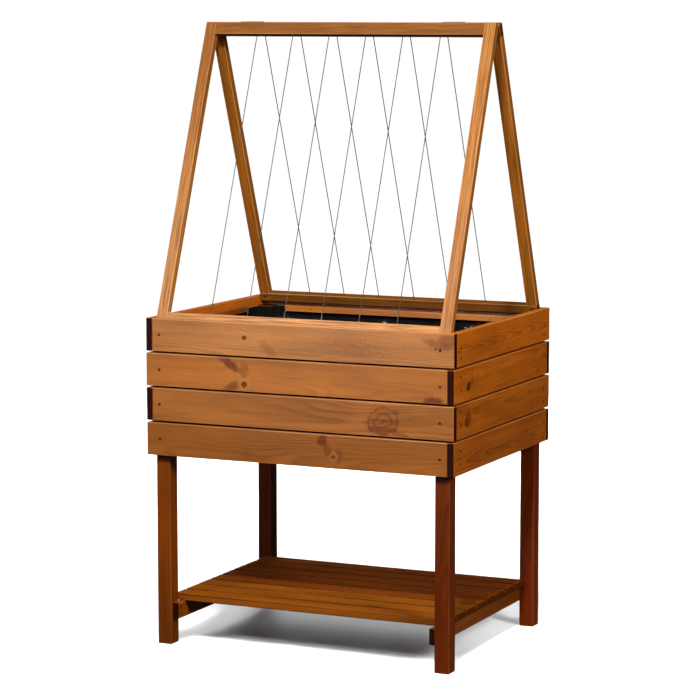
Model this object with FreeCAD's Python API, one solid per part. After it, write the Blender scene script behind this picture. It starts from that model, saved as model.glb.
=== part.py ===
import FreeCAD, Part
import math
import os

# Raised planter box on four legs, with a slatted shelf below and a folding A-shaped trellis on top.
# Millimetres. The origin is on the floor under the middle of the box, +X is to the right,
# the front faces -Y and +Z is up.

V = FreeCAD.Vector
X_AXIS = V(1, 0, 0)
Z_AXIS = V(0, 0, 1)

# Planter box: four layers of boards with a drainage gap between them
box_width = 904.0
box_depth = 696.0
rim_height = 902.0
board_layers = 4
board_height = 90.0
board_gap = 5.0
board_thickness = 19.0
board_edge_radius = 2.2

# Legs, inside the corners of the box
leg_side = 42.0
leg_top_drop = 27.0
leg_edge_radius = 2.0

# Shelf under the box: two battens on the inner faces of the legs, with slats laid across them
shelf_slat_count = 8
shelf_slat_gap = 8.3
shelf_slat_thickness = 18.0
shelf_slat_overhang = 15.0
shelf_slat_leg_clearance = 2.0
shelf_slat_edge_radius = 2.0
shelf_batten_bottom = 72.0
shelf_batten_height = 44.0
shelf_batten_thickness = 19.0
shelf_batten_setback = 9.0
batten_edge_radius = 1.5
batten_screw_edge = 11.0

# Floor of the box: two bearers on the inner faces of the legs, with boards laid across them
bearer_height = 44.0
bearer_thickness = 19.0
bearer_lift = 2.0
bearer_end_clearance = 0.5
floor_board_count = 6
floor_board_gap = 6.4
floor_board_thickness = 19.0
floor_board_clearance = 1.0
floor_strip_nail_inset = 9.0

# Black film that lines the box and goes round the legs
liner_clearance = 0.4
liner_thickness = 1.0
liner_top_drop = 30.0

# Battens that clamp the film to the top boards
clamp_height = 17.0
clamp_thickness = 12.0
clamp_drop_long = 27.0
clamp_drop_short = 20.0
clamp_end_gap_long = 33.0
clamp_end_gap_short = 82.0

# Nails of these battens, as shares of half a batten's length
clamp_nail_shares_long = (-0.76, -0.14, 0.33, 0.80)
clamp_nail_shares_short = (-0.75, 0.0, 0.75)

# Trellis: two equal leaning frames that meet at hinges on top
pin_above_rim = 789.0
foot_drop = 7.0
foot_clearance = 0.5
frame_side_clearance = 1.5
frame_half_gap = 1.0
frame_thickness = 22.0
upright_width = 31.0
top_rail_height = 35.0
bottom_rail_height = 24.0
frame_edge_radius = 1.5
hinge_pin_above_rail = 3.0

# Wires strung from rail to rail
wire_count = 6
wire_spacing_share = 0.1367
wire_diameter = 2.4
wire_hole_clearance = 0.2
sleeve_diameter = 4.6
sleeve_length = 7.0
sleeve_pocket_diameter = 6.0
sleeve_pocket_depth = 9.0

# Hinges: leaves lie on top of the rails, their knuckles stand over the joint between the frames
hinge_centre_shares = (-0.697, 0.697)
hinge_length = 50.0
hinge_leaf_reach = 21.5
hinge_leaf_thickness = 1.5
hinge_knuckles = 5
hinge_knuckle_radius = 2.7
hinge_knuckle_clearance = 0.3
hinge_pin_radius = 1.4
hinge_bore_clearance = 0.06
hinge_pin_head_radius = 2.3
hinge_pin_head_height = 0.9
hinge_screw_spacing = 34.0
hinge_screw_setback = 11.5

# Dowels inside the corners of the frames
dowel_diameter = 6.0
dowel_length = 32.0
dowel_hole_clearance = 0.1
dowel_end_clearance = 0.5
dowel_spread_share = 0.5

# Countersunk screws: head and shank radius, length, and how deep the head is sunk
BOARD_SCREW = {"head": 3.8, "shank": 1.8, "length": 35.0, "sunk": 0.8}
FOOT_SCREW = {"head": 3.8, "shank": 1.8, "length": 20.5, "sunk": 0.8}
HINGE_SCREW = {"head": 2.9, "shank": 1.4, "length": 15.0, "sunk": 0.1}
fastener_clearance = 0.1
cross_slot_length_share = 1.15
cross_slot_width = 0.9
cross_slot_depth = 1.3

# Screws of the side boards, placed by hand: setback from the box's front or back face, and for
# each layer from the top, how far the two screws are below the board's top edge as shares of its height
side_screw_setback_front = 47.0
side_screw_setback_back = 42.0
side_screw_drops_front = ((0.48, 0.76), (0.25, 0.65), (0.20, 0.59), (0.30, 0.68))
side_screw_drops_back = ((0.52, 0.82), (0.36, 0.77), (0.40, 0.79), (0.37, 0.85))

# Nails: head radius and height, shank radius and length
SLAT_NAIL = {"head": 1.5, "head_height": 0.9, "shank": 0.9, "length": 38.0, "sunk": 0.6}
CLAMP_NAIL = {"head": 2.2, "head_height": 0.8, "shank": 1.1, "length": 26.0, "sunk": -0.8}

# How far a cutting tool runs out of the piece that it cuts
cut_overrun = 1.0

# Places worked out from the dimensions above
half_width = box_width / 2
half_depth = box_depth / 2
inner_half_width = half_width - board_thickness
inner_half_depth = half_depth - board_thickness
leg_inner_x = inner_half_width - leg_side
leg_inner_y = inner_half_depth - leg_side
leg_centre_x = inner_half_width - leg_side / 2
leg_centre_y = inner_half_depth - leg_side / 2
leg_top = rim_height - leg_top_drop
layer_pitch = board_height + board_gap
box_bottom = rim_height - board_layers * layer_pitch + board_gap
shelf_batten_top = shelf_batten_bottom + shelf_batten_height
bearer_bottom = box_bottom + bearer_lift
floor_board_bottom = bearer_bottom + bearer_height
floor_board_top = floor_board_bottom + floor_board_thickness
liner_bottom = floor_board_top + liner_clearance
liner_top = rim_height - liner_top_drop
clamp_back = 2 * liner_clearance + liner_thickness

# The frames lean so that each foot's outer edge stands just inside the front or back boards
hinge_pin_height = rim_height + pin_above_rim
foot_reach = inner_half_depth - foot_clearance
pin_above_foot = hinge_pin_height - (rim_height - foot_drop)
frame_outer_offset = frame_half_gap + frame_thickness
pin_to_frame_end = math.sqrt(foot_reach ** 2 + pin_above_foot ** 2 - frame_outer_offset ** 2)
lean = math.degrees(math.atan2(foot_reach, pin_above_foot)
                    - math.atan2(frame_outer_offset, pin_to_frame_end))
frame_half_width = inner_half_width - frame_side_clearance
frame_top = -hinge_pin_above_rail
frame_bottom = -pin_to_frame_end
upright_inner_x = frame_half_width - upright_width
upright_centre_x = frame_half_width - upright_width / 2
wire_spacing = 2 * upright_inner_x * wire_spacing_share

parts = {}


def add(node, *solids):
    """Put solids under a node's name."""
    parts.setdefault(node, []).extend(solids)


def drill(node, tool):
    """Cut a tool's shape out of every solid of a node."""
    parts[node] = [solid.cut(tool) for solid in parts[node]]


def timber(x0, x1, y0, y1, z0, z1, edge_radius):
    """A planed piece of wood with every edge eased."""
    block = Part.makeBox(x1 - x0, y1 - y0, z1 - z0, V(x0, y0, z0))
    return block.makeFillet(edge_radius, block.Edges)


def aimed(shape, point, direction):
    """A copy of a fastener drawn along -Z, moved to a point and turned to run in a direction."""
    turn = FreeCAD.Rotation(V(0, 0, -1), direction)
    copy = shape.copy()
    copy.Placement = FreeCAD.Placement(point, turn)
    return copy


def countersunk(size, clearance=0.0):
    """A screw, or its hole where there is a clearance, with its axis along -Z from the surface."""
    head = size["head"] + clearance
    shank = size["shank"] + clearance
    cone_height = size["head"] - size["shank"]
    top = -size["sunk"]
    cone = Part.makeCone(head, shank, cone_height, V(0, 0, top), V(0, 0, -1))
    shaft = Part.makeCylinder(shank, size["length"] + top + clearance, V(0, 0, top), V(0, 0, -1))
    shape = cone.fuse(shaft)
    if clearance:
        mouth = Part.makeCylinder(head, size["sunk"] + cut_overrun, V(0, 0, top), Z_AXIS)
        return shape.fuse(mouth)
    reach = size["head"] * cross_slot_length_share
    for length_x, length_y in ((reach, cross_slot_width), (cross_slot_width, reach)):
        corner = V(-length_x / 2, -length_y / 2, top - cross_slot_depth)
        shape = shape.cut(Part.makeBox(length_x, length_y, 2 * cross_slot_depth, corner))
    return shape


def nail(size, clearance=0.0):
    """A nail, or its hole where there is a clearance, with its axis along -Z from the surface."""
    top = -size["sunk"]
    head_height = size["head_height"] + (size["sunk"] + cut_overrun if clearance else 0)
    head_bottom = top - size["head_height"]
    head = Part.makeCylinder(size["head"] + clearance, head_height, V(0, 0, head_bottom))
    shaft_length = size["length"] + head_bottom + clearance
    shaft = Part.makeCylinder(size["shank"] + clearance, shaft_length, V(0, 0, head_bottom), V(0, 0, -1))
    return head.fuse(shaft)


FASTENERS = {}
for fastener_name, fastener_size in (("board", BOARD_SCREW), ("foot", FOOT_SCREW), ("hinge", HINGE_SCREW)):
    FASTENERS[fastener_name] = (countersunk(fastener_size), countersunk(fastener_size, fastener_clearance))
for fastener_name, fastener_size in (("slat_nail", SLAT_NAIL), ("clamp_nail", CLAMP_NAIL)):
    FASTENERS[fastener_name] = (nail(fastener_size), nail(fastener_size, fastener_clearance))


def fasten(group, kind, held_nodes, point, direction):
    """Drive one fastener from a surface point through the nodes that it holds together."""
    solid, hole = FASTENERS[kind]
    add(group, aimed(solid, point, direction))
    tool = aimed(hole, point, direction)
    for node in held_nodes:
        drill(node, tool)


def leg_name(x_side, y_side):
    depth_word = "front" if y_side < 0 else "back"
    side_word = "left" if x_side < 0 else "right"
    return "leg_" + depth_word + "_" + side_word


CORNERS = [(x_side, y_side) for x_side in (-1, 1) for y_side in (-1, 1)]


def make_legs():
    for x_side, y_side in CORNERS:
        x_ends = sorted((x_side * leg_inner_x, x_side * inner_half_width))
        y_ends = sorted((y_side * leg_inner_y, y_side * inner_half_depth))
        add(leg_name(x_side, y_side), timber(*x_ends, *y_ends, 0, leg_top, leg_edge_radius))


def board_ends(layer):
    """Ends of the front, back, left and right board. Each board runs past its neighbour at one
    corner and stops against the next one, and the direction changes from layer to layer."""
    step = board_thickness
    if layer % 2 == 0:
        return {"front": (step - half_width, half_width), "back": (-half_width, half_width - step),
                "left": (-half_depth, half_depth - step), "right": (step - half_depth, half_depth)}
    return {"front": (-half_width, half_width - step), "back": (step - half_width, half_width),
            "left": (step - half_depth, half_depth), "right": (-half_depth, half_depth - step)}


def make_boards():
    for layer in range(board_layers):
        top = rim_height - layer * layer_pitch
        heights = (top - board_height, top)
        for side, ends in board_ends(layer).items():
            sign = -1 if side in ("front", "left") else 1
            if side in ("front", "back"):
                across = sorted((sign * inner_half_depth, sign * half_depth))
                board = timber(*ends, *across, *heights, board_edge_radius)
            else:
                across = sorted((sign * inner_half_width, sign * half_width))
                board = timber(*across, *ends, *heights, board_edge_radius)
            node = "board_" + side + "_" + str(layer + 1)
            add(node, board)
            fasten_board(node, side, sign, layer, top)


def fasten_board(node, side, sign, layer, top):
    """Front and back boards have one screw into each leg, side boards have two."""
    if side in ("front", "back"):
        for x_side in (-1, 1):
            point = V(x_side * leg_centre_x, sign * half_depth, top - board_height / 2)
            fasten("board_screws", "board", (node, leg_name(x_side, sign)), point, V(0, -sign, 0))
        return
    row = layer % len(side_screw_drops_front)
    rows = ((-1, side_screw_setback_front, side_screw_drops_front[row]),
            (1, side_screw_setback_back, side_screw_drops_back[row]))
    for y_side, setback, drops in rows:
        for drop in drops:
            point = V(sign * half_width, y_side * (half_depth - setback), top - drop * board_height)
            fasten("board_screws", "board", (node, leg_name(sign, y_side)), point, V(-sign, 0, 0))


def make_leg_battens(names, thickness, half_length, bottom, top):
    """A batten across the inner faces of the two left legs, and one across the right legs."""
    outer, inner = leg_inner_x, leg_inner_x - thickness
    for x_side, node in zip((-1, 1), names):
        x_ends = sorted((x_side * inner, x_side * outer))
        add(node, timber(*x_ends, -half_length, half_length, bottom, top, batten_edge_radius))
        for y_side in (-1, 1):
            for height in (bottom + batten_screw_edge, top - batten_screw_edge):
                point = V(x_side * inner, y_side * leg_centre_y, height)
                fasten("board_screws", "board", (node, leg_name(x_side, y_side)), point, V(x_side, 0, 0))


def nail_down(node, batten_names, batten_x, y, top):
    """One nail at each end of a slat or floor board, into the batten under it."""
    for x_side, batten in zip((-1, 1), batten_names):
        fasten("deck_nails", "slat_nail", (node, batten), V(x_side * batten_x, y, top), V(0, 0, -1))


def make_shelf():
    battens = ("shelf_batten_left", "shelf_batten_right")
    batten_half_length = inner_half_depth - shelf_batten_setback
    make_leg_battens(battens, shelf_batten_thickness, batten_half_length,
                     shelf_batten_bottom, shelf_batten_top)
    slat_end = leg_inner_x + shelf_slat_overhang
    first = shelf_slat_leg_clearance - leg_inner_y
    spacing = (shelf_slat_gap - 2 * first) / shelf_slat_count
    slat_width = spacing - shelf_slat_gap
    slat_top = shelf_batten_top + shelf_slat_thickness
    for index in range(shelf_slat_count):
        front = first + index * spacing
        node = "shelf_slat_" + str(index + 1)
        add(node, timber(-slat_end, slat_end, front, front + slat_width,
                         shelf_batten_top, slat_top, shelf_slat_edge_radius))
        nail_down(node, battens, leg_inner_x - shelf_batten_thickness / 2,
                  front + slat_width / 2, slat_top)


def make_floor():
    bearers = ("floor_bearer_left", "floor_bearer_right")
    bearer_x = leg_inner_x - bearer_thickness / 2
    make_leg_battens(bearers, bearer_thickness, inner_half_depth - bearer_end_clearance,
                     bearer_bottom, floor_board_bottom)
    levels = (floor_board_bottom, floor_board_top)
    board_end = inner_half_width - floor_board_clearance
    first = floor_board_clearance - leg_inner_y
    spacing = (floor_board_gap - 2 * first) / floor_board_count
    rows = []
    for index in range(floor_board_count):
        front = first + index * spacing
        rows.append((board_end, front, front + spacing - floor_board_gap))
    strip_end = leg_inner_x - floor_board_clearance
    strip_edges = (leg_inner_y + floor_board_clearance, inner_half_depth - floor_board_clearance)
    rows.append((strip_end, -strip_edges[1], -strip_edges[0]))
    rows.append((strip_end, *strip_edges))
    for end, front, back in rows:
        add("floor_boards", timber(-end, end, front, back, *levels, batten_edge_radius))
    nail_lines = [(front + back) / 2 for end, front, back in rows[:floor_board_count]]
    strip_nail_y = strip_edges[0] + floor_strip_nail_inset
    for y in (*nail_lines, -strip_nail_y, strip_nail_y):
        nail_down("floor_boards", bearers, bearer_x, y, floor_board_top)


def cross_outline(inset, height):
    """Plan of the film: the inside of the box with the legs' corners left out, drawn in by an inset."""
    wide, deep = inner_half_width - inset, inner_half_depth - inset
    leg_x, leg_y = leg_inner_x - inset, leg_inner_y - inset
    quarter = [(wide, leg_y), (leg_x, leg_y), (leg_x, deep)]
    corners = quarter + [(-x, y) for x, y in reversed(quarter)]
    corners += [(-x, -y) for x, y in quarter] + [(x, -y) for x, y in reversed(quarter)]
    points = [V(x, y, height) for x, y in corners]
    return Part.Face(Part.makePolygon(points + points[:1]))


def make_liner():
    outer = cross_outline(liner_clearance, liner_bottom).extrude(V(0, 0, liner_top - liner_bottom))
    inner_inset = liner_clearance + liner_thickness
    inner_bottom = liner_bottom + liner_thickness
    hollow_height = liner_top - inner_bottom + cut_overrun
    hollow = cross_outline(inner_inset, inner_bottom).extrude(V(0, 0, hollow_height))
    add("liner", outer.cut(hollow))


def make_clamps():
    """Battens inside the top boards that hold the film, short of the legs at both ends."""
    long_half = leg_inner_x - clamp_end_gap_long
    short_half = leg_inner_y - clamp_end_gap_short
    for side in ("front", "back", "left", "right"):
        sign = -1 if side in ("front", "left") else 1
        along_x = side in ("front", "back")
        wall = inner_half_depth if along_x else inner_half_width
        half, drop = (long_half, clamp_drop_long) if along_x else (short_half, clamp_drop_short)
        shares = clamp_nail_shares_long if along_x else clamp_nail_shares_short
        inner = sign * (wall - clamp_back - clamp_thickness)
        across = sorted((inner, sign * (wall - clamp_back)))
        top = rim_height - drop
        heights = (top - clamp_height, top)
        node = "liner_batten_" + side
        if along_x:
            add(node, timber(-half, half, *across, *heights, batten_edge_radius))
        else:
            add(node, timber(*across, -half, half, *heights, batten_edge_radius))
        for share in shares:
            middle = top - clamp_height / 2
            point = V(share * half, inner, middle) if along_x else V(inner, share * half, middle)
            outward = V(0, sign, 0) if along_x else V(sign, 0, 0)
            held = (node, "liner", "board_" + side + "_1")
            fasten("liner_nails", "clamp_nail", held, point, outward)


# The frames are drawn upright, hanging from the hinge pin at the origin, and tilted afterwards.
# depth_sign is -1 for the front frame and 1 for the back frame.

def frame_member(depth_sign, x0, x1, z0, z1):
    y_ends = sorted((depth_sign * frame_half_gap, depth_sign * frame_outer_offset))
    return timber(x0, x1, *y_ends, z0, z1, frame_edge_radius)


def make_frame(word, depth_sign, rails_outside):
    """One frame. Its rails stand between the uprights, or run over the ends of the uprights."""
    left, right = word + "_upright_left", word + "_upright_right"
    top_rail, bottom_rail = word + "_top_rail", word + "_bottom_rail"
    under_top_rail = frame_top - top_rail_height
    over_bottom_rail = frame_bottom + bottom_rail_height
    rail_end = frame_half_width if rails_outside else upright_inner_x
    upright_ends = (over_bottom_rail, under_top_rail) if rails_outside else (frame_bottom, frame_top)
    add(left, frame_member(depth_sign, -frame_half_width, -upright_inner_x, *upright_ends))
    add(right, frame_member(depth_sign, upright_inner_x, frame_half_width, *upright_ends))
    add(top_rail, frame_member(depth_sign, -rail_end, rail_end, under_top_rail, frame_top))
    add(bottom_rail, frame_member(depth_sign, -rail_end, rail_end, frame_bottom, over_bottom_rail))

    middle_y = depth_sign * (frame_half_gap + frame_thickness / 2)
    for x_side, upright in ((-1, left), (1, right)):
        joints = ((top_rail, under_top_rail, frame_top), (bottom_rail, over_bottom_rail, frame_bottom))
        for rail, joint_z, end_z in joints:
            middle_z = (joint_z + end_z) / 2
            for half_spread in (-dowel_spread_share / 2, dowel_spread_share / 2):
                if rails_outside:
                    dowel_x = x_side * upright_centre_x + half_spread * upright_width
                    centre, axis = V(dowel_x, middle_y, joint_z), Z_AXIS
                else:
                    dowel_z = middle_z + half_spread * abs(end_z - joint_z)
                    centre, axis = V(x_side * upright_inner_x, middle_y, dowel_z), X_AXIS
                add_dowel(word + "_dowels", (upright, rail), centre, axis)
        foot_node = bottom_rail if rails_outside else upright
        screw_point = V(x_side * upright_centre_x, depth_sign * frame_half_gap,
                        frame_bottom + bottom_rail_height / 2)
        fasten(word + "_trellis_screws", "foot", (foot_node,), screw_point, V(0, depth_sign, 0))
    make_wires(word, middle_y, top_rail, bottom_rail)
    make_hinge_leaves(word, depth_sign, top_rail)


def add_dowel(group, held_nodes, centre, axis):
    start = centre - axis * (dowel_length / 2)
    add(group, Part.makeCylinder(dowel_diameter / 2, dowel_length, start, axis))
    hole_start = start - axis * dowel_end_clearance
    hole = Part.makeCylinder(dowel_diameter / 2 + dowel_hole_clearance,
                             dowel_length + 2 * dowel_end_clearance, hole_start, axis)
    for node in held_nodes:
        drill(node, hole)


def make_wires(word, middle_y, top_rail, bottom_rail):
    """Straight wires through the rails, each with a crimped sleeve in a pocket at both ends."""
    pocket_top = frame_top - sleeve_pocket_depth
    pocket_bottom = frame_bottom + sleeve_pocket_depth
    for index in range(wire_count):
        x = (index - (wire_count - 1) / 2) * wire_spacing
        low, high = V(x, middle_y, pocket_bottom - sleeve_length), V(x, middle_y, pocket_top)
        strand = Part.makeCylinder(wire_diameter / 2, high.z + sleeve_length - low.z, low)
        sleeves = [Part.makeCylinder(sleeve_diameter / 2, sleeve_length, end) for end in (low, high)]
        add(word + "_wires", strand.fuse(sleeves))
        hole_radius = wire_diameter / 2 + wire_hole_clearance
        hole = Part.makeCylinder(hole_radius, frame_top - frame_bottom, V(x, middle_y, frame_bottom))
        pocket_radius = sleeve_pocket_diameter / 2
        pocket_length = sleeve_pocket_depth + cut_overrun
        top_pocket = Part.makeCylinder(pocket_radius, pocket_length, high)
        bottom_pocket = Part.makeCylinder(pocket_radius, pocket_length,
                                          V(x, middle_y, frame_bottom - cut_overrun))
        drill(top_rail, hole.fuse(top_pocket))
        drill(bottom_rail, hole.fuse(bottom_pocket))


def make_hinge_leaves(word, depth_sign, top_rail):
    """One leaf of each hinge. The front leaf has the first, third and fifth knuckle."""
    knuckle_length = hinge_length / hinge_knuckles
    bore_radius = hinge_pin_radius + hinge_bore_clearance
    own_knuckles = [k for k in range(hinge_knuckles) if (k % 2 == 0) == (depth_sign < 0)]
    leaf_edge = hinge_knuckle_radius + hinge_knuckle_clearance
    node = "hinge_leaves_" + word
    for share in hinge_centre_shares:
        centre = share * frame_half_width
        start = centre - hinge_length / 2
        y_ends = sorted((depth_sign * leaf_edge, depth_sign * hinge_leaf_reach))
        leaf = Part.makeBox(hinge_length, y_ends[1] - y_ends[0], hinge_leaf_thickness,
                            V(start, y_ends[0], frame_top))
        for knuckle in own_knuckles:
            x0 = start + knuckle * knuckle_length + hinge_knuckle_clearance / 2
            length = knuckle_length - hinge_knuckle_clearance
            barrel = Part.makeCylinder(hinge_knuckle_radius, length, V(x0, 0, 0), X_AXIS)
            tongue = Part.makeBox(length, leaf_edge, hinge_leaf_thickness,
                                  V(x0, min(0, depth_sign * leaf_edge), frame_top))
            bore = Part.makeCylinder(bore_radius, length + 2 * cut_overrun,
                                     V(x0 - cut_overrun, 0, 0), X_AXIS)
            leaf = leaf.fuse(barrel.fuse(tongue).cut(bore))
        add(node, leaf)
        for half_spread in (-hinge_screw_spacing / 2, hinge_screw_spacing / 2):
            point = V(centre + half_spread, depth_sign * hinge_screw_setback,
                      frame_top + hinge_leaf_thickness)
            fasten(word + "_trellis_screws", "hinge", (node, top_rail), point, V(0, 0, -1))


def make_hinge_pins():
    for share in hinge_centre_shares:
        start = V(share * frame_half_width - hinge_length / 2, 0, 0)
        shaft = Part.makeCylinder(hinge_pin_radius, hinge_length, start, X_AXIS)
        near_head = Part.makeCylinder(hinge_pin_head_radius, hinge_pin_head_height,
                                      start - X_AXIS * hinge_pin_head_height, X_AXIS)
        far_head = Part.makeCylinder(hinge_pin_head_radius, hinge_pin_head_height,
                                     start + X_AXIS * hinge_length, X_AXIS)
        add("hinge_pins", shaft.fuse([near_head, far_head]))


def tilt(nodes, angle):
    """Lean a frame by turning it about the hinge pin, and lift it to the pin's height."""
    place = FreeCAD.Placement(V(0, 0, hinge_pin_height), FreeCAD.Rotation(X_AXIS, angle))
    for node in nodes:
        for solid in parts[node]:
            solid.Placement = place.multiply(solid.Placement)


def save():
    os.makedirs("parts", exist_ok=True)
    for node, solids in parts.items():
        shape = solids[0] if len(solids) == 1 else Part.makeCompound(solids)
        shape.exportStep("parts/" + node + ".step")


make_legs()
make_boards()
make_shelf()
make_floor()
make_liner()
make_clamps()
planter_nodes = set(parts)
make_frame("front", -1, False)
front_nodes = set(parts) - planter_nodes
make_frame("back", 1, True)
back_nodes = set(parts) - planter_nodes - front_nodes
make_hinge_pins()
front_nodes.add("hinge_pins")
tilt(front_nodes, -lean)
tilt(back_nodes, lean)
save()
print("nodes", len(parts), "lean", round(lean, 3), "frame length", round(frame_top - frame_bottom, 2))
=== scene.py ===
import math
import random

import bmesh
import bpy
from mathutils import Matrix, Vector, noise


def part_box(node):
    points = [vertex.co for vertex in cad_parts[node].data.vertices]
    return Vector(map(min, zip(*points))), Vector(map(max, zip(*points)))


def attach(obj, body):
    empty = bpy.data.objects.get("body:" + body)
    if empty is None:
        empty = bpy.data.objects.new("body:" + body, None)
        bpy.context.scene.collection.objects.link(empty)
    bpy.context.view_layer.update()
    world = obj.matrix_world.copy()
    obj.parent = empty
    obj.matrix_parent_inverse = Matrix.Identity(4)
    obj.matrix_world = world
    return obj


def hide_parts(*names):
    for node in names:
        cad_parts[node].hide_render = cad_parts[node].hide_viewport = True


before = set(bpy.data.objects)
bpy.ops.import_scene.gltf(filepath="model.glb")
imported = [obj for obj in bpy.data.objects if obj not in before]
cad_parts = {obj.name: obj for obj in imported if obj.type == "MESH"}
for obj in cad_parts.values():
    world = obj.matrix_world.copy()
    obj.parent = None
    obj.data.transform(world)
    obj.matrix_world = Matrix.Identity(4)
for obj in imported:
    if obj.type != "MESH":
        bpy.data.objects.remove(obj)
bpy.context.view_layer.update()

# Planter of stained pine with a folding trellis. The CAD solids keep their shapes and get their
# materials here, apart from the plain liner, which a creased film replaces.
# Lengths are in metres. +X is to the right, the front faces -Y, +Z is up, the floor is at z = 0.

X_AXIS = Vector((1, 0, 0))
Y_AXIS = Vector((0, 1, 0))
Z_AXIS = Vector((0, 0, 1))

# Each frame of the trellis leans by half of the angle that it folds through
FOLD_ANGLE = math.radians(41.79)
LEAN = FOLD_ANGLE / 2
FRAME_UP = {"front": Vector((0, math.sin(LEAN), math.cos(LEAN))),
            "back": Vector((0, -math.sin(LEAN), math.cos(LEAN)))}

# Width and thickness of the trellis's timber, and the heights of its rails
FRAME_TIMBER = (0.031, 0.022)
RAIL_HEIGHTS = {"top": 0.035, "bottom": 0.024}

# Stained pine, as linear colours
EARLY_WOOD = (0.420, 0.122, 0.0050)
LATE_WOOD = (0.230, 0.052, 0.0016)
FLAME_COLOUR = (0.125, 0.018, 0.0004)
BARE_LIGHT = (0.59, 0.258, 0.060)
BARE_DARK = (0.19, 0.054, 0.007)
KNOT_DARK = (0.022, 0.003, 0.0005)
KNOT_RED = (0.260, 0.055, 0.003)
KNOT_HALO = (0.50, 0.190, 0.032)
DARK_END_GRAIN = (0.034, 0.0040, 0.0012)
LIGHT_END_GRAIN = (0.150, 0.034, 0.0030)
# Pale long edges: partly wear, partly a painted highlight where light catches the rounded edges
PALE_EDGE_WEAR_AND_HIGHLIGHT = (0.70, 0.33, 0.12)
# Painted shade for the gaps between the shelf slats, laid on the slats' long edges
SLAT_GAP_SHADE = (0.030, 0.006, 0.0008)

# Strength and tint of the stain, with painted light laid over it: the tones drop from the top layer
# down to paint the fall of the light down the box, and the raised green and blue of the board
# tints, most on the top layer, paint a sheen. The layers of boards count from the top.
BOARD_TONES_AND_FALLOFF = {1: 1.10, 2: 1.04, 3: 0.94, 4: 0.78}
BOARD_TINTS_AND_SHEEN = {1: (1.0, 1.30, 8.0), 2: (1.0, 1.10, 4.0), 3: (0.98, 1.10, 4.5), 4: (0.98, 1.04, 2.8)}
SIDE_TONES_AND_FALLOFF = {1: 1.34, 2: 1.24, 3: 1.10, 4: 1.02}
SIDE_TINT = (1.0, 0.82, 0.7)
BATTEN_LOOK = {"tone": 0.7, "tint": (1.0, 0.8, 0.7), "marking": 0.2}

# Tone of each leg, and how much green and blue is left in its stain. The low tones are partly the
# wood's own and partly paint the shade under the box and the fall of the light towards the floor,
# most of all on the back left leg, which lies in the box's shadow.
LEG_STAIN_AND_SHADE = {"leg_front_left": (0.52, 0.72), "leg_front_right": (0.38, 0.54),
             "leg_back_left": (0.28, 0.50), "leg_back_right": (0.48, 0.45)}
LEG_BLUE = 0.7
LEG_LOOK = {"marking": 0.14, "specular": 0.2}

# Tone and green of the three slats at the front of the shelf, and of the others, which are darker
# and redder: painted shadow of the box above them.
SLAT_COUNT = 8
FRONT_SLATS = (1, 2, 3)
FRONT_SLAT_STAIN = (0.76, 0.92)
REAR_SLAT_STAIN_AND_SHADOW = (0.56, 0.74)
# The slats' long edges take the dark gap colour in full: painted shade for the gaps between slats
SLAT_LOOK = {"edge": SLAT_GAP_SHADE, "marking": 1.0, "specular": 0.12}

# The trellis shows bare wood through thin stain: its shares at the bottom and the top of each
# upright, and for each rail the tone and one share. These partly paint light and shade: the pale
# foot of the front left upright paints the glare of the key light on the leaning frame, the darker
# top rails paint the fall of the light towards the top, and the darker back bottom rail paints the
# shade inside the box.
UPRIGHT_BARE_AND_GLARE = {"front_upright_left": (0.85, 0.25), "front_upright_right": (0.50, 0.60),
                "back_upright_left": (0.10, 0.15), "back_upright_right": (0.15, 0.20)}
RAIL_STAIN_AND_SHADE = {"front_top_rail": (0.50, 0.14), "front_bottom_rail": (1.0, 0.95),
              "back_top_rail": (0.55, 0.20), "back_bottom_rail": (0.46, 0.14)}
UPRIGHT_TONE = 0.78
TRELLIS_LOOK = {"figure": 1.2, "specular": 0.22}

# The numbers below were set against the photograph. A pair or a set of four is what Surface.ramp
# takes, start and end and then low and high, unless its comment says otherwise.

# Scales of the wood's noises along, across and through a piece
FIBRE_SCALE = (14, 520, 520)
STREAK_SCALE = (1.8, 62, 62)
BLOTCH_SCALE = (4, 13, 13)
WANDER_SCALE = (2.3, 9, 9)
BARE_LINE_SCALE = (7, 300, 300)
FLECK_SCALE = (240, 460, 460)

# Noise that pushes a pattern about: how far, and its scale
KNOT_WARP = (0.009, 70.0)
FLAME_WARP = (0.022, 48.0)
END_WARP = (0.006, 60.0)

# Growth rings: how far and how steeply the pith may lie from the piece's middle, how far noise
# and streaks bend the rings, and where the late wood of a ring starts, ends and fades
RING_SPACING = 0.0042
PITH_ACROSS = 0.035
PITH_DEPTH = (0.025, 0.075)
PITH_SLOPE_ACROSS = 0.03
PITH_SLOPE_DEPTH = 0.035
RING_WAVER = 0.028
RING_STREAK = 0.55
LATE_START = (0.30, 0.90)
LATE_END = (1.0, 0.93)
LATE_FADE = (0.32, 0.62, 0.12, 0.60)

# How much each noise shades the stain, and what brings their middle back to no change
FIBRE_SHADE = 0.60
STREAK_SHADE = 0.66
FIGURE_MIDDLE = 0.68
BLOTCH_SHADE = 0.80
BLOTCH_MIDDLE = 0.38
BARE_LINES = (0.36, 0.60)

# Long edges take the edge colour between these distances from the edge, more so in some streaks:
# pale with wear and a painted highlight, and on the shelf slats dark with painted shade
EDGE_BAND = (0.0030, 0.0010)
EDGE_STREAK = (0.35, 0.65)
EDGE_LEAST = 0.3

# Finish: roughness by fibre, and relief
PINE_ROUGHNESS = (0.2, 0.8, 0.32, 0.46)
LATE_RELIEF = 0.8
FIBRE_RELIEF = 0.9

# A face is a sawn end where its normal's share along the grain is above this
END_SLOPE = 0.8

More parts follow.
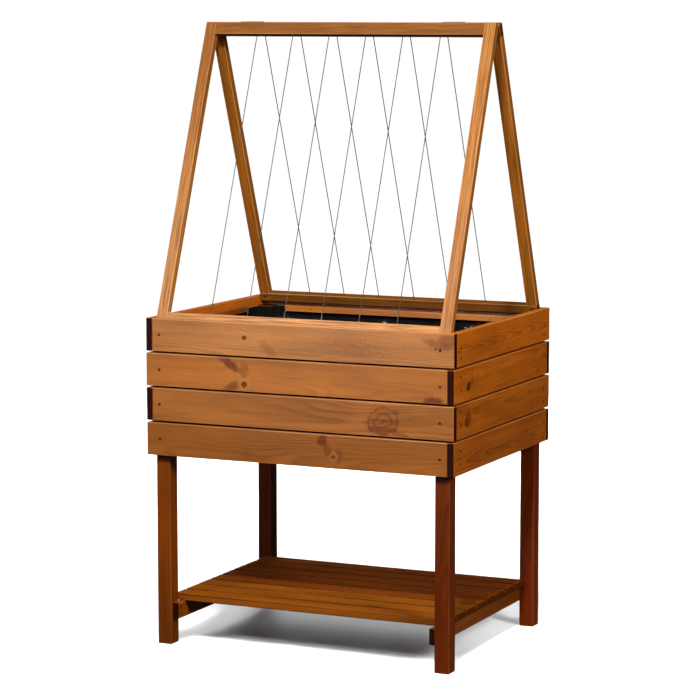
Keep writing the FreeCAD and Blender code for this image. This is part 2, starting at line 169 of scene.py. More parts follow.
# Knots and darker flames of single pieces, as the eye sees them on the piece's face.
# A knot is (centre, radii, turn in degrees, halo); a flame is (centre, radii, turn, strength).
# Centres are in the object's frame; the radii run along and across the grain.
KNOTS = {
    "board_front_1": [((-0.155, -0.348, 0.862), (0.0078, 0.0062), 0, 0.1),
                      ((0.400, -0.348, 0.8605), (0.0040, 0.0034), 30, 0.0),
                      ((0.4125, -0.348, 0.8595), (0.0036, 0.0036), 0, 0.0)],
    "board_front_2": [((-0.155, -0.348, 0.737), (0.0088, 0.0080), 10, 0.75)],
    "board_front_4": [((0.108, -0.348, 0.559), (0.0066, 0.0056), 0, 0.45)],
    "board_right_2": [((0.452, -0.248, 0.754), (0.0150, 0.0112), 20, 0.1)],
    "board_right_3": [((0.452, -0.263, 0.660), (0.0110, 0.0090), 60, 0.0)],
    "board_left_1": [((-0.452, 0.120, 0.850), (0.0100, 0.0080), 0, 0.3)],
    "board_left_3": [((-0.452, -0.150, 0.660), (0.0120, 0.0090), 15, 0.2)],
    "board_back_2": [((0.210, 0.348, 0.770), (0.0120, 0.0090), 0, 0.3)],
    "board_back_4": [((-0.260, 0.348, 0.560), (0.0100, 0.0080), 20, 0.5)],
    "leg_back_right": [((0.418, 0.287, 0.277), (0.0080, 0.0060), 0, 0.0)],
    "shelf_slat_3": [((-0.120, -0.100, 0.134), (0.0080, 0.0060), 0, 0.2)],
}
FLAMES = {
    "board_front_1": [((0.437, -0.348, 0.884), (0.030, 0.020), 0, 0.65),
                      ((0.405, -0.348, 0.872), (0.050, 0.010), -14, 0.55),
                      ((-0.085, -0.348, 0.838), (0.034, 0.016), -40, 0.35)],
    "board_front_2": [((-0.203, -0.348, 0.792), (0.046, 0.012), -32, 0.95),
                      ((-0.190, -0.348, 0.728), (0.030, 0.013), 25, 0.75),
                      ((0.395, -0.348, 0.722), (0.030, 0.013), 0, 0.95),
                      ((-0.155, -0.348, 0.775), (0.014, 0.020), 0, 0.45)],
    "board_front_3": [((0.300, -0.348, 0.630), (0.030, 0.008), -12, 0.6)],
    "board_front_4": [((0.076, -0.348, 0.600), (0.018, 0.014), 60, 0.95),
                      ((0.088, -0.348, 0.578), (0.013, 0.022), 20, 0.6),
                      ((0.124, -0.348, 0.562), (0.012, 0.024), 0, 0.5)],
    "board_right_2": [((0.452, -0.225, 0.768), (0.010, 0.018), 0, 0.45),
                      ((0.452, 0.260, 0.735), (0.022, 0.010), 0, 0.3)],
    "board_right_3": [((0.452, -0.250, 0.668), (0.022, 0.022), 40, 0.65)],
    "shelf_slat_2": [((0.162, -0.212, 0.134), (0.030, 0.012), 10, 0.7)],
    "shelf_slat_1": [((0.315, -0.270, 0.134), (0.024, 0.010), 0, 0.6)],
}

# A whorl of crowded rings, and a field of small dark flecks: centre, radii and turn
WHORL_PIECE = "board_front_3"
WHORL = ((0.251, -0.348, 0.663), (0.050, 0.038), 20)
FLECK_PIECE = "board_front_1"
FLECKS = ((0.190, -0.348, 0.853), (0.160, 0.032), 0)

# How these fade by reach, the distance from the centre where 1 is the rim of the ellipse. Their
# rings are a sine of the reach.
KNOT_REACH = (1.12, 0.98)
KNOT_RIM = (0.72, 0.95)
KNOT_RIM_SHARE = 0.85
KNOT_RINGS = 17.0
HALO_REACH = (2.6, 1.2)
SWELL_REACH = (4.5, 0.8, 0.0, 2.4 * RING_SPACING)
FLAME_REACH = (1.20, 0.55)
FLAME_FIBRE = (0.30, 0.55, 0.6, 1.0)
WHORL_PATCH_REACH = (1.2, 0.7, 0.0, 0.75)
WHORL_PATCH_STREAK = (0.3, 0.6)
WHORL_RINGS = 16.0
WHORL_RING_WIDTH = (-0.2, 1.0)
WHORL_RING_REACH = (1.15, 0.8, 0.0, 0.6)
FLECK_REACH = (1.1, 0.4)
FLECK_DOTS = (0.58, 0.66, 0.0, 0.85)

# Depth is divided by this where only the distance in the plane of a face counts
FACE_DEPTH_SCALE = 1000.0


class Surface:
    """A node-based material under construction. What is linked to a socket overrides its value."""

    def __init__(self, name, roughness=0.5, metallic=0.0):
        self.material = bpy.data.materials.new(name)
        self.material.use_nodes = True
        self.tree = self.material.node_tree
        self.shader = self.tree.nodes["Principled BSDF"]
        self.shader.inputs["Roughness"].default_value = roughness
        self.shader.inputs["Metallic"].default_value = metallic
        self.place = self.tree.nodes.new("ShaderNodeTexCoord").outputs["Object"]

    def node(self, kind, inputs, output=0, **settings):
        """Add a node, connect or set its inputs by name or number, and return one output."""
        made = self.tree.nodes.new(kind)
        for key, value in settings.items():
            setattr(made, key, value)
        for key, value in inputs.items():
            self.feed(made.inputs[key], value)
        return made.outputs[output]

    def feed(self, socket, value):
        """Link a node's output to a socket, or set the socket to a fixed value."""
        if isinstance(value, bpy.types.NodeSocket):
            self.tree.links.new(value, socket)
        elif socket.type == "RGBA":
            socket.default_value = (*value, 1.0)
        else:
            socket.default_value = value

    def set(self, socket_name, value):
        self.feed(self.shader.inputs[socket_name], value)

    def math(self, operation, first, second=0.0, third=0.0):
        return self.node("ShaderNodeMath", {0: first, 1: second, 2: third}, operation=operation)

    def vector(self, operation, first, second):
        return self.node("ShaderNodeVectorMath", {0: first, 1: second}, operation=operation)

    def length(self, vector):
        return self.node("ShaderNodeVectorMath", {0: vector}, output=1, operation="LENGTH")

    def split(self, vector):
        return self.node("ShaderNodeSeparateXYZ", {0: vector}).node.outputs

    def local(self, origin, axes, scale=(1, 1, 1), source=None):
        """Coordinates measured from an origin along three axes, divided by a scale."""
        turn = Matrix(axes).transposed().to_euler()
        inputs = {"Vector": source or self.place, "Location": origin, "Rotation": turn,
                  "Scale": scale}
        return self.node("ShaderNodeMapping", inputs, vector_type="TEXTURE")

    def noise(self, vector, scale=1.0, detail=2.0, rough=0.5, output=0):
        inputs = {"Vector": vector, "Scale": scale, "Detail": detail, "Roughness": rough}
        return self.node("ShaderNodeTexNoise", inputs, output=output)

    def warped(self, amount, scale):
        """The object's coordinates, pushed about by noise."""
        push = self.noise(self.place, scale, 2.0, output=1)
        centred = self.vector("SUBTRACT", push, (0.5, 0.5, 0.5))
        scaled = self.vector("MULTIPLY", centred, (amount, amount, amount))
        return self.vector("ADD", self.place, scaled)

    def ramp(self, value, start, end, low=0.0, high=1.0):
        """Carry a value smoothly from low to high as it goes from start to end."""
        inputs = {"Value": value, "From Min": start, "From Max": end, "To Min": low, "To Max": high}
        return self.node("ShaderNodeMapRange", inputs, interpolation_type="SMOOTHSTEP")

    def mix(self, factor, first, second):
        """Mix two colours."""
        return self.node("ShaderNodeMix", {0: factor, 6: first, 7: second}, output=2,
                         data_type="RGBA")

    def bump(self, height, strength, distance):
        inputs = {"Height": height, "Strength": strength, "Distance": distance}
        self.set("Normal", self.node("ShaderNodeBump", inputs))


class Pine(Surface):
    """Brown-stained pine on one piece: growth rings round a pith, fibres, blotches and knots."""

    def __init__(self, piece, along, across):
        super().__init__("pine_" + piece, roughness=0.42)
        self.piece = piece
        self.axes = (along, across, along.cross(across))
        low, high = (Vector(corner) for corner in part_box(piece))
        self.span = high - low
        self.luck = random.Random("pine_" + piece)
        grain = self.local((low + high) / 2, self.axes)
        self.along, self.across, self.depth = self.split(grain)
        seed = tuple(self.luck.uniform(-9, 9) for _ in range(3))
        self.shifted = self.vector("ADD", grain, seed)
        self.fibre = self.grain_noise(FIBRE_SCALE, 3.0, 0.6)
        self.streak = self.grain_noise(STREAK_SCALE, 3.0, 0.55)
        self.wander = self.grain_noise(WANDER_SCALE)
        self.wavy = self.warped(*KNOT_WARP)

    def grain_noise(self, scale, detail=2.0, rough=0.5):
        """Noise drawn out along the grain, different on each piece."""
        return self.noise(self.vector("MULTIPLY", self.shifted, scale), 1.0, detail, rough)

    def ellipse(self, source, centre, radii, turn):
        """Distance from a centre in the plane of the face, where 1 is the rim of an ellipse."""
        angle = math.radians(turn)
        along, across, depth = self.axes
        first = along * math.cos(angle) + across * math.sin(angle)
        second = across * math.cos(angle) - along * math.sin(angle)
        scale = (*radii, FACE_DEPTH_SCALE)
        return self.length(self.local(centre, (first, second, depth), scale, source))

    def pith_distance(self):
        """Distance from the pith, which lies beside the piece and runs roughly along it."""
        side = self.luck.choice((-1, 1))
        pith = (self.luck.uniform(-PITH_ACROSS, PITH_ACROSS), side * self.luck.uniform(*PITH_DEPTH))
        slopes = (self.luck.uniform(-PITH_SLOPE_ACROSS, PITH_SLOPE_ACROSS),
                  self.luck.uniform(-PITH_SLOPE_DEPTH, PITH_SLOPE_DEPTH))
        offsets = []
        for output, start, slope in zip((self.across, self.depth), pith, slopes):
            drift = self.math("MULTIPLY_ADD", self.along, slope, -start)
            waver = self.math("MULTIPLY_ADD", self.wander, RING_WAVER, drift)
            offsets.append(self.math("ADD", output, waver))
        square = self.math("MULTIPLY", offsets[0], offsets[0])
        return self.math("SQRT", self.math("MULTIPLY_ADD", offsets[1], offsets[1], square))

    def late_wood(self, knots):
        """Share of dark late wood, which rises slowly in each ring and ends sharply."""
        radius = self.pith_distance()
        for reach, _ in knots:
            # Rings swell round a knot
            radius = self.math("ADD", radius, self.ramp(reach, *SWELL_REACH))
        rings = self.math("DIVIDE", radius, RING_SPACING)
        part = self.math("FRACT", self.math("MULTIPLY_ADD", self.streak, RING_STREAK, rings))
        late = self.math("MULTIPLY", self.ramp(part, *LATE_START), self.ramp(part, *LATE_END))
        return self.math("MULTIPLY", late, self.ramp(self.wander, *LATE_FADE))

    def stained(self, late, tone, tint, figure):
        """Early and late wood under the stain, shaded by fibres, streaks and blotches."""
        early_colour, late_colour = (tuple(c * tone * t for c, t in zip(wood, tint))
                                     for wood in (EARLY_WOOD, LATE_WOOD))
        colour = self.mix(late, early_colour, late_colour)
        middle = 1.0 - FIGURE_MIDDLE * figure
        shade = self.math("MULTIPLY_ADD", self.fibre, FIBRE_SHADE * figure, middle)
        shade = self.math("MULTIPLY_ADD", self.streak, STREAK_SHADE * figure, shade)
        shade = self.math("SUBTRACT", shade, BLOTCH_MIDDLE)
        blotch = self.grain_noise(BLOTCH_SCALE)
        shade = self.math("MULTIPLY_ADD", blotch, BLOTCH_SHADE, shade)
        return self.node("ShaderNodeVectorMath", {0: colour, "Scale": shade}, operation="SCALE")

    def laid_bare(self, colour, shares):
        """Bare wood over the stain, by a share that goes from one end of the piece to the other."""
        lines = self.grain_noise(BARE_LINE_SCALE, 4.0, 0.65)
        naked = self.mix(self.ramp(lines, *BARE_LINES), BARE_DARK, BARE_LIGHT)
        half = self.span.length / 2
        return self.mix(self.ramp(self.along, -half, half, *shares), colour, naked)

    def flamed(self, colour, smoky):
        """Smoky dark patches round the knots."""
        for centre, radii, turn, strength in FLAMES.get(self.piece, ()):
            reach = self.ellipse(smoky, centre, radii, turn)
            mask = self.ramp(reach, *FLAME_REACH, 0.0, strength)
            mask = self.math("MULTIPLY", mask, self.ramp(self.fibre, *FLAME_FIBRE))
            colour = self.mix(mask, colour, FLAME_COLOUR)
        return colour

    def whorled(self, colour, smoky):
        """A dark streaky patch, and crowded rings over it."""
        reach = self.ellipse(smoky, *WHORL)
        patch = self.math("MULTIPLY", self.ramp(reach, *WHORL_PATCH_REACH),
                          self.ramp(self.streak, *WHORL_PATCH_STREAK))
        waves = self.math("SINE", self.math("MULTIPLY", reach, WHORL_RINGS))
        rings = self.math("MULTIPLY", self.ramp(waves, *WHORL_RING_WIDTH),
                          self.ramp(reach, *WHORL_RING_REACH))
        return self.mix(rings, self.mix(patch, colour, FLAME_COLOUR), FLAME_COLOUR)

    def flecked(self, colour):
        """Small dark flecks that thin out from the middle of their field."""
        reach = self.ellipse(self.wavy, *FLECKS)
        dots = self.ramp(self.grain_noise(FLECK_SCALE, 1.0), *FLECK_DOTS)
        mask = self.math("MULTIPLY", dots, self.ramp(reach, *FLECK_REACH))
        return self.mix(mask, colour, FLAME_COLOUR)

    def knotted(self, colour, knots):
        """Knots: a pale halo, red and dark rings, and a dark rim."""
        for reach, halo in knots:
            colour = self.mix(self.ramp(reach, *HALO_REACH, 0.0, halo), colour, KNOT_HALO)
            waves = self.math("SINE", self.math("MULTIPLY", reach, KNOT_RINGS))
            core = self.mix(self.ramp(waves, -1.0, 1.0), KNOT_DARK, KNOT_RED)
            rim = self.math("MULTIPLY", self.ramp(reach, *KNOT_RIM), KNOT_RIM_SHARE)
            core = self.mix(rim, core, KNOT_DARK)
            colour = self.mix(self.ramp(reach, *KNOT_REACH), colour, core)
        return colour

    def edged(self, colour, section, edge_colour, marking):
        """Long edges turned to another colour, more so in some streaks: pale with wear and a
        painted highlight, and on the slats dark with painted shade.
        """
        gaps = []
        for size, output in zip(section, (self.across, self.depth)):
            gaps.append(self.math("SUBTRACT", size / 2, self.math("ABSOLUTE", output)))
        from_edge = self.length(self.node("ShaderNodeCombineXYZ", {0: gaps[0], 1: gaps[1]}))
        edge_mask = self.math("MULTIPLY", self.ramp(from_edge, *EDGE_BAND),
                         self.ramp(self.streak, *EDGE_STREAK, EDGE_LEAST * marking, marking))
        return self.mix(edge_mask, colour, edge_colour)


def pine(piece, along, across, tone=1.0, tint=(1.0, 1.0, 1.0), figure=1.0, bare=None,
         section=None, edge=PALE_EDGE_WEAR_AND_HIGHLIGHT, marking=0.55, specular=0.4):
    """Material of one piece of timber.

    tone and tint scale the stain's colour, and on the boards, legs, slats and trellis they also
    paint light and shade; figure strengthens the fibres and streaks. bare gives the shares of bare
    wood that show through thin stain at the start and the end of the piece, partly painting glare
    on the trellis, and marking how far its edges have turned to the colour edge: pale with wear and
    a painted highlight on most pieces, dark with painted shade on the shelf slats. section gives
    the piece's size across the grain where its box doesn't, because the piece leans.
    """
    wood = Pine(piece, along, across)
    knots = [(wood.ellipse(wood.wavy, centre, radii, turn), halo)
             for centre, radii, turn, halo in KNOTS.get(piece, ())]
    late = wood.late_wood(knots)
    colour = wood.stained(late, tone, tint, figure)
    if bare:
        colour = wood.laid_bare(colour, bare)
    if piece in FLAMES or piece == WHORL_PIECE:
        smoky = wood.warped(*FLAME_WARP)
        colour = wood.flamed(colour, smoky)
        if piece == WHORL_PIECE:
            colour = wood.whorled(colour, smoky)
    if piece == FLECK_PIECE:
        colour = wood.flecked(colour)
    colour = wood.knotted(colour, knots)
    if section is None:
        section = [abs(wood.span.dot(axis)) for axis in wood.axes[1:]]
    wood.set("Base Color", wood.edged(colour, section, edge, marking))
    wood.set("Roughness", wood.ramp(wood.fibre, *PINE_ROUGHNESS))
    wood.set("Specular IOR Level", specular)
    fibre_height = wood.math("MULTIPLY", wood.fibre, FIBRE_RELIEF)
    height = wood.math("MULTIPLY_ADD", late, LATE_RELIEF, fibre_height)
    wood.bump(height, strength=0.35, distance=0.0005)
    return wood.material


def end_grain(name, colour):
    """Sawn ends, darker because they drink more stain: crowded rings and open pores."""
    surface = Surface(name, roughness=0.85)
    surface.set("Specular IOR Level", 0.1)
    source = surface.warped(*END_WARP)
    pores = surface.noise(source, 1100.0, 2.0)
    settings = {"Vector": source, "Scale": 78.0, "Distortion": 2.0, "Detail": 1.0}
    rings = surface.node("ShaderNodeTexWave", settings, output=1, wave_type="RINGS",
                         rings_direction="SPHERICAL")
    dark = tuple(0.35 * c for c in colour)
    wood = surface.mix(surface.ramp(rings, 0.2, 0.9, 0.0, 0.8), colour, dark)
    surface.set("Base Color", surface.mix(surface.ramp(pores, 0.45, 0.65, 0.0, 0.7), wood, dark))
    surface.bump(surface.math("ADD", pores, rings), strength=0.4, distance=0.0004)
    return surface.material


def dress(node, material):
    """Give a CAD node's mesh one material."""
    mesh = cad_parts[node].data
    mesh.materials.clear()
    mesh.materials.append(material)
    return mesh


def dress_timber(node, along, across, end_material, **look):
    """Give a piece of timber pine of its own, and its sawn ends another material."""
    mesh = dress(node, pine(node, along, across, **look))
    mesh.materials.append(end_material)
    for face in mesh.polygons:
        face.material_index = int(abs(face.normal.dot(along)) > END_SLOPE)


def dress_body(end):
    """Boards round the box, legs, battens, bearers and floor boards."""
    for layer in BOARD_TONES_AND_FALLOFF:
        for side in ("front", "back"):
            dress_timber("board_%s_%d" % (side, layer), X_AXIS, Z_AXIS, end,
                         tone=BOARD_TONES_AND_FALLOFF[layer], tint=BOARD_TINTS_AND_SHEEN[layer])
        for side in ("left", "right"):
            dress_timber("board_%s_%d" % (side, layer), Y_AXIS, Z_AXIS, end,
                         tone=SIDE_TONES_AND_FALLOFF[layer], tint=SIDE_TINT)
    for node, (tone, green) in LEG_STAIN_AND_SHADE.items():
        dress_timber(node, Z_AXIS, X_AXIS, end, tone=tone, tint=(1.0, green, LEG_BLUE), **LEG_LOOK)
    for node in ("shelf_batten_left", "shelf_batten_right", "floor_bearer_left",
                 "floor_bearer_right", "liner_batten_left", "liner_batten_right"):
        dress_timber(node, Y_AXIS, Z_AXIS, end, **BATTEN_LOOK)
    dress_timber("floor_boards", X_AXIS, Y_AXIS, end)
    for node in ("liner_batten_front", "liner_batten_back"):
        dress_timber(node, X_AXIS, Z_AXIS, end, tone=1.05)


def dress_slats(end):
    """The slats of the shelf, whose long edges are darkened with painted shade for the gaps between
    the slats.
    """
    for index in range(1, SLAT_COUNT + 1):
        tone, green = FRONT_SLAT_STAIN if index in FRONT_SLATS else REAR_SLAT_STAIN_AND_SHADOW
        dress_timber("shelf_slat_%d" % index, X_AXIS, Y_AXIS, end, tone=tone,
                     tint=(1.0, green, 1.0), **SLAT_LOOK)


def dress_trellis(end):
    """The uprights and rails of both frames."""
    for word, up in FRAME_UP.items():
        for side in ("left", "right"):
            node = "%s_upright_%s" % (word, side)
            dress_timber(node, up, X_AXIS, end, tone=UPRIGHT_TONE, bare=UPRIGHT_BARE_AND_GLARE[node],
                         section=FRAME_TIMBER, **TRELLIS_LOOK)
        for level, height in RAIL_HEIGHTS.items():
            node = "%s_%s_rail" % (word, level)
            tone, share = RAIL_STAIN_AND_SHADE[node]
            dress_timber(node, X_AXIS, up, end, tone=tone, bare=(share, share),
                         section=(height, FRAME_TIMBER[1]), **TRELLIS_LOOK)


def dress_wood():
    dark_end = end_grain("end_grain_dark", DARK_END_GRAIN)
    light_end = end_grain("end_grain_light", LIGHT_END_GRAIN)
    dress_body(dark_end)
    dress_slats(light_end)
    dress_trellis(light_end)


# Dark metals: colour, colour where worn, roughness and how metallic. Then the nodes made of each.
METALS = {
    "dark_screw_steel": ((0.030, 0.016, 0.011), (0.10, 0.07, 0.055), 0.45, 0.75),
    "nail_steel": ((0.07, 0.055, 0.045), (0.2, 0.18, 0.16), 0.42, 0.9),
    "black_hinge_paint": ((0.008, 0.006, 0.005), (0.03, 0.022, 0.018), 0.62, 0.0),
}
METAL_NODES = {
    "dark_screw_steel": ("board_screws", "front_trellis_screws", "back_trellis_screws"),
    "nail_steel": ("deck_nails", "liner_nails"),
    "black_hinge_paint": ("hinge_leaves_front", "hinge_leaves_back", "hinge_pins"),
}

# Wire strand: the length of its lay, turns of the lay per metre across it, and its colours. The
# dark grooves are painted shade between the twisted wires, and both colours are kept dark to paint
# the dark surroundings that the steel mirrors.
STRAND_LAY = 0.0034
STRAND_SLANT = 420.0
STRAND_GROOVE_SHADE = (0.025, 0.023, 0.021)
STRAND_RIDGE = (0.20, 0.19, 0.175)

BEECH_COLOURS = ((0.50, 0.33, 0.18), (0.62, 0.44, 0.26))


def dark_metal(name, colour, worn_colour, roughness, metallic):
    """Blackened or painted metal with a mottled finish and small wear marks."""
    surface = Surface(name, roughness, metallic)
    mottle = surface.noise(surface.place, 900.0, 3.0, 0.6)
    marking = surface.ramp(surface.noise(surface.place, 260.0, 4.0, 0.65), 0.56, 0.72)
    mottled = surface.mix(mottle, colour, tuple(1.8 * c for c in colour))
    surface.set("Base Color", surface.mix(marking, mottled, worn_colour))
    surface.set("Roughness", surface.ramp(mottle, 0.3, 0.7, roughness - 0.08, roughness + 0.12))
    surface.bump(mottle, strength=0.2, distance=0.0001)
    return surface.material


def wire_steel(name, up, origin):
    """Twisted steel strand: the lay shows as fine slanting ridges, with painted shade in the
    grooves between them.
    """
    surface = Surface(name, roughness=0.34, metallic=1.0)
    across, _, along = surface.split(surface.local(origin, (X_AXIS, up.cross(X_AXIS), up)))
    turns = surface.math("DIVIDE", along, STRAND_LAY)
    slant = surface.math("MULTIPLY_ADD", across, STRAND_SLANT, turns)
    ridge = surface.math("SINE", surface.math("MULTIPLY", slant, math.tau))
    groove_shade = surface.ramp(ridge, -1.0, 0.2)
    surface.set("Base Color", surface.mix(groove_shade, STRAND_GROOVE_SHADE, STRAND_RIDGE))
    surface.set("Roughness", surface.ramp(ridge, -1.0, 1.0, 0.5, 0.28))
    surface.bump(ridge, strength=0.6, distance=0.0003)
    return surface.material


def dowel_wood():
    """Bare beech with short fine fibres."""
    surface = Surface("beech", roughness=0.6)
    fibre = surface.noise(surface.place, 700.0, 3.0)
    surface.set("Base Color", surface.mix(fibre, *BEECH_COLOURS))
    surface.bump(fibre, strength=0.3, distance=0.0002)
    return surface.material


def dress_fittings():
    """Screws, nails, hinges, dowels and wires."""
    for name, look in METALS.items():
        metal = dark_metal(name, *look)
        for node in METAL_NODES[name]:
            dress(node, metal)
    dowel = dowel_wood()
    for word, up in FRAME_UP.items():
        dress(word + "_dowels", dowel)
        wires = word + "_wires"
        low, high = (Vector(corner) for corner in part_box(wires))
        dress(wires, wire_steel("strand_steel_" + word, up, (low + high) / 2))


# Black film that lines the box. Its points are FILM_STEP apart, and it stands FILM_INSET inside
# the CAD liner. It is flat where the battens clamp it, and its creases grow to their full depth
# over FILM_SLACK below that band.
FILM_STEP = 0.012
FILM_INSET = 0.0006
FILM_FLAT_BAND = 0.030
FILM_SLACK = 0.03125
FILM_CREASE = 0.0090
CREASES_PER_METRE = Vector((16, 16, 7))
FILM_COLOURS = ((0.004, 0.004, 0.004), (0.011, 0.011, 0.011))


def film_material():
    surface = Surface("black_film", roughness=0.1)
    drawn_down = surface.vector("MULTIPLY", surface.place, (1, 1, 0.35))
    crease = surface.noise(drawn_down, 75.0, 3.0, 0.55)
    fine = surface.noise(surface.place, 420.0, 2.0)
    surface.set("Base Color", surface.mix(crease, *FILM_COLOURS))
    surface.set("Roughness", surface.ramp(fine, 0.3, 0.7, 0.06, 0.13))
    surface.set("Specular IOR Level", 0.45)
    height = surface.math("MULTIPLY_ADD", fine, 0.05, crease)
    surface.bump(height, strength=0.5, distance=0.004)
    return surface.material


def film_plan(low, high, leg):
    """Plan of the film inside the box: a rectangle whose corners step in round the legs."""
    x0, y0, x1, y1 = low.x, low.y, high.x, high.y
    corners = [(x0 + leg, y0), (x1 - leg, y0), (x1 - leg, y0 + leg), (x1, y0 + leg),
               (x1, y1 - leg), (x1 - leg, y1 - leg), (x1 - leg, y1), (x0 + leg, y1),
               (x0 + leg, y1 - leg), (x0, y1 - leg), (x0, y0 + leg), (x0 + leg, y0 + leg)]
    points = []
    for index, (x, y) in enumerate(corners):
        next_x, next_y = corners[(index + 1) % len(corners)]
        run = math.hypot(next_x - x, next_y - y)
        count = max(2, round(run / FILM_STEP))
        for step in range(count):
            share = step / count
            points.append(Vector((x + (next_x - x) * share, y + (next_y - y) * share, 0)))
    return points


def inward_directions(points):
    """For each point of the plan, the direction into the box."""
    directions = []
    for index in range(len(points)):
        run = points[(index + 1) % len(points)] - points[index - 1]
        directions.append(Vector((-run.y, run.x, 0)).normalized())
    return directions


def crease_depth(point):
    """How far the film stands off the wall where it hangs slack: long slanting creases."""
    stretched = point * CREASES_PER_METRE
    value = noise.fractal(stretched, 0.9, 2.1, 3) + 0.5 * noise.noise(stretched * 2.7)
    return max(0.0, 0.45 + value) * FILM_CREASE


def film_mesh():
    """The film's sides, row by row from the bottom, and its flat bottom."""
    low, high = (Vector(corner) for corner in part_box("liner"))
    leg_low, leg_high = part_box("leg_front_left")
    margin = Vector((FILM_INSET, FILM_INSET, 0))
    plan = film_plan(low + margin, high - margin, leg_high[0] - leg_low[0])
    inward = inward_directions(plan)
    rows = max(2, round((high.z - low.z) / FILM_STEP))
    mesh = bmesh.new()
    rings = []
    for row in range(rows + 1):
        z = low.z + FILM_INSET + (high.z - FILM_INSET - low.z) * row / rows
        slack = min(1.0, max(0.0, (high.z - FILM_FLAT_BAND - z) / FILM_SLACK))
        ring = []
        for base, direction in zip(plan, inward):
            place = Vector((base.x, base.y, z))
            place += direction * (crease_depth(place) * slack)
            ring.append(mesh.verts.new(place))
        rings.append(ring)
    count = len(plan)
    for lower, upper in zip(rings, rings[1:]):
        for index in range(count):
            after = (index + 1) % count
            mesh.faces.new((lower[index], lower[after], upper[after], upper[index]))
    bottom = mesh.faces.new(rings[0])
    bottom.normal_update()
    bmesh.ops.triangulate(mesh, faces=[bottom])
    for face in mesh.faces:
        face.smooth = True
    data = bpy.data.meshes.new("liner_film")
    mesh.to_mesh(data)
    mesh.free()
    return data


def make_film():
    data = film_mesh()
    data.materials.append(film_material())
    film = bpy.data.objects.new("liner_film", data)
    bpy.context.scene.collection.objects.link(film)
    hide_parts("liner")
    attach(film, "planter")


# Studio. The camera's place, turn and lens were fitted to the photograph.
CAMERA_PLACE = (3.1129, -6.7726, 1.7293)
CAMERA_YAW = math.radians(24.752)
CAMERA_DROP = math.radians(7.08)
CAMERA_LENS = 140.85
CAMERA_SENSOR = 36.0
FLOOR_SIZE = 3000.0
FLOOR_COLOURS = ((0.86, 0.86, 0.86), (0.88, 0.88, 0.88))
WORLD_LIGHT = 0.11
OBJECT_MIDDLE = (0, 0, 0.8)

# The camera sees a pale floor. All other rays meet this colour, because light that a pale floor
# sends up would lay a haze on the wood.
UNSEEN_FLOOR = (0.020, 0.017, 0.013)


def make_camera():
    data = bpy.data.cameras.new("camera")
    data.lens = CAMERA_LENS
    data.sensor_width = CAMERA_SENSOR
    data.clip_end = FLOOR_SIZE
    camera = bpy.data.objects.new("camera", data)
    camera.location = CAMERA_PLACE
    camera.rotation_euler = (math.pi / 2 - CAMERA_DROP, 0, CAMERA_YAW)
    bpy.context.scene.collection.objects.link(camera)
    bpy.context.scene.camera = camera


def make_floor():
    bpy.ops.mesh.primitive_plane_add(size=FLOOR_SIZE)
    floor = bpy.context.object
    floor.name = "studio_floor"
    surface = Surface("studio_floor", roughness=0.9)
    tone = surface.noise(surface.place, 2.0, 2.0)
    surface.set("Base Color", surface.mix(tone, *FLOOR_COLOURS))
    surface.set("Specular IOR Level", 0.1)
    dark = surface.node("ShaderNodeBsdfDiffuse", {"Color": UNSEEN_FLOOR})
    camera_ray = surface.tree.nodes.new("ShaderNodeLightPath").outputs["Is Camera Ray"]
    pale = surface.shader.outputs[0]
    shown = surface.node("ShaderNodeMixShader", {0: camera_ray, 1: dark, 2: pale})
    surface.tree.links.new(shown, surface.tree.nodes["Material Output"].inputs[0])
    floor.data.materials.append(surface.material)


def make_light(name, kind, place, target, energy, **settings):
    data = bpy.data.lights.new(name, kind)
    data.energy = energy
    for key, value in settings.items():
        setattr(data, key, value)
    lamp = bpy.data.objects.new(name, data)
    lamp.location = place
    lamp.rotation_euler = (Vector(target) - Vector(place)).to_track_quat("-Z", "Y").to_euler()
    bpy.context.scene.collection.objects.link(lamp)
    return lamp


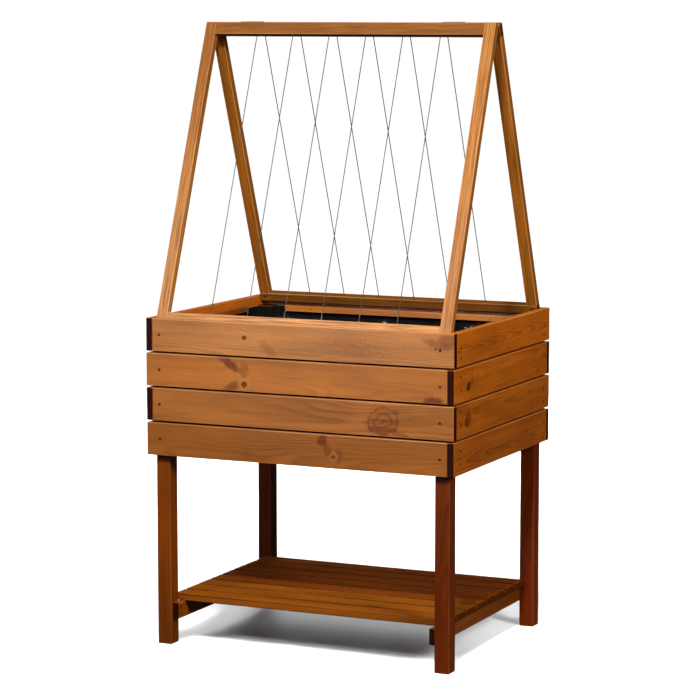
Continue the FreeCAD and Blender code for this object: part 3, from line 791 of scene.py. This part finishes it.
def make_lights():
    make_light("key", "SPOT", place=(0.75, -2.7, 3.3), target=(0, -0.2, 1.0), energy=500.0,
               spot_size=math.radians(52), spot_blend=1.0, shadow_soft_size=0.16)
    make_light("soft", "AREA", place=(-1.9, -3.3, 3.0), target=(0, -0.3, 1.0), energy=42.0,
               shape="DISK", size=0.9)
    # A narrow beam that only shows as a sheen on the front boards
    sheen = make_light("sheen", "AREA", place=(-0.9, -3.4, 1.95), target=(0, -0.35, 0.95),
                       energy=2.4, shape="DISK", size=0.8, spread=math.radians(28))
    sheen.visible_diffuse = False
    # The side and the back are lit without glare
    side = make_light("side", "AREA", place=(3.6, -1.4, 2.4), target=(0.4, 0, 0.8), energy=88.0,
                      shape="DISK", size=1.2)
    back = make_light("back", "AREA", place=(-1.8, 4.2, 1.7), target=OBJECT_MIDDLE, energy=110.0,
                      shape="DISK", size=2.0)
    for lamp in (side, back):
        lamp.visible_glossy = False
        lamp.visible_camera = False
    floor_light = make_light("floor_light", "SUN", place=(0.8, -3.0, 6.5), target=OBJECT_MIDDLE,
                             energy=4.0, angle=math.radians(14))
    lit_by_floor_light = bpy.data.collections.new("lit_by_floor_light")
    lit_by_floor_light.objects.link(bpy.data.objects["studio_floor"])
    floor_light.light_linking.receiver_collection = lit_by_floor_light


def make_world():
    """A white backdrop for the camera, which lights the object faintly and shows in no gloss."""
    world = bpy.data.worlds.new("studio")
    world.use_nodes = True
    tree = world.node_tree
    light = tree.nodes["Background"]
    backdrop = tree.nodes.new("ShaderNodeBackground")
    light.inputs["Strength"].default_value = WORLD_LIGHT
    for background in (light, backdrop):
        background.inputs["Color"].default_value = (1, 1, 1, 1)
    rays = tree.nodes.new("ShaderNodeLightPath")
    chosen = tree.nodes.new("ShaderNodeMixShader")
    tree.links.new(rays.outputs["Is Camera Ray"], chosen.inputs[0])
    tree.links.new(light.outputs[0], chosen.inputs[1])
    tree.links.new(backdrop.outputs[0], chosen.inputs[2])
    tree.links.new(chosen.outputs[0], tree.nodes["World Output"].inputs[0])
    bpy.context.scene.world = world
    world.cycles_visibility.glossy = False
    bpy.context.scene.view_settings.view_transform = "Standard"


make_camera()
make_floor()
make_lights()
make_world()
dress_wood()
dress_fittings()
make_film()
